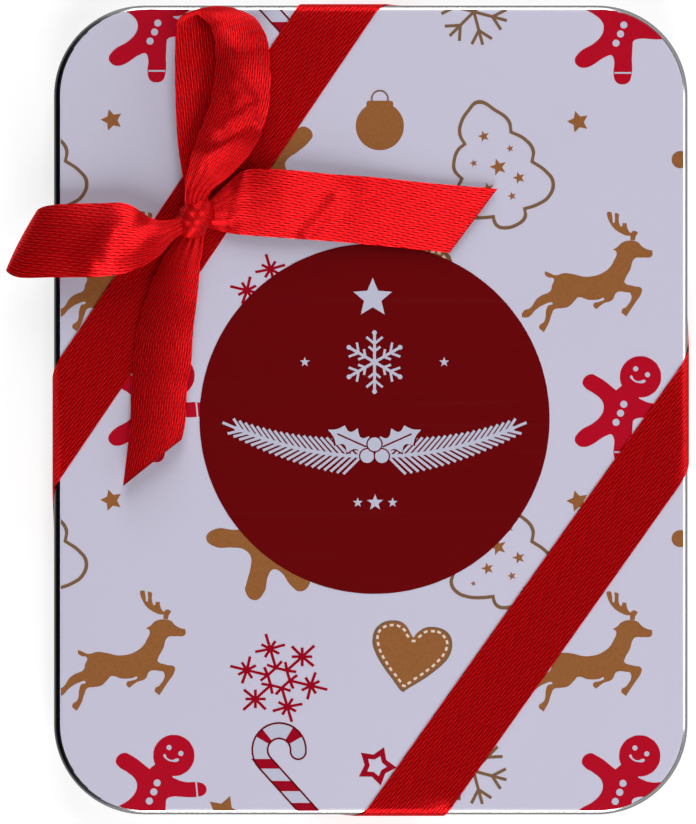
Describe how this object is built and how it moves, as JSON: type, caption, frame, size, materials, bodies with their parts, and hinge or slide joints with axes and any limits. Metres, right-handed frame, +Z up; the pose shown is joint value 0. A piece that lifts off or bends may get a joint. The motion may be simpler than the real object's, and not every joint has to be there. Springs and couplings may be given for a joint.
{
  "type": "gift tin",
  "caption": "Flat rectangular slip-lid gift tin with rounded corners, tied shut by a diagonal satin ribbon that ends in a bow on the lid.",
  "frame": {"origin": "middle of the bottom of the whole object's box, level with the two ribbon bands that the tin rests on", "axes": "+Z up through the lid's face, +Y along the tin's longer side, +X to the right seen from above with the bow at the upper left"},
  "size_m": [0.1208, 0.1444, 0.0204],
  "materials": {
    "tinplate": "bright tinplate",
    "printed_tinplate": "glossy print on tinplate",
    "red_satin": "satin weave"
  },
  "bodies": {
    "root": {"base": "tinplate", "lid": "printed_tinplate", "ribbon": "red_satin"}
  },
  "joints": []
}
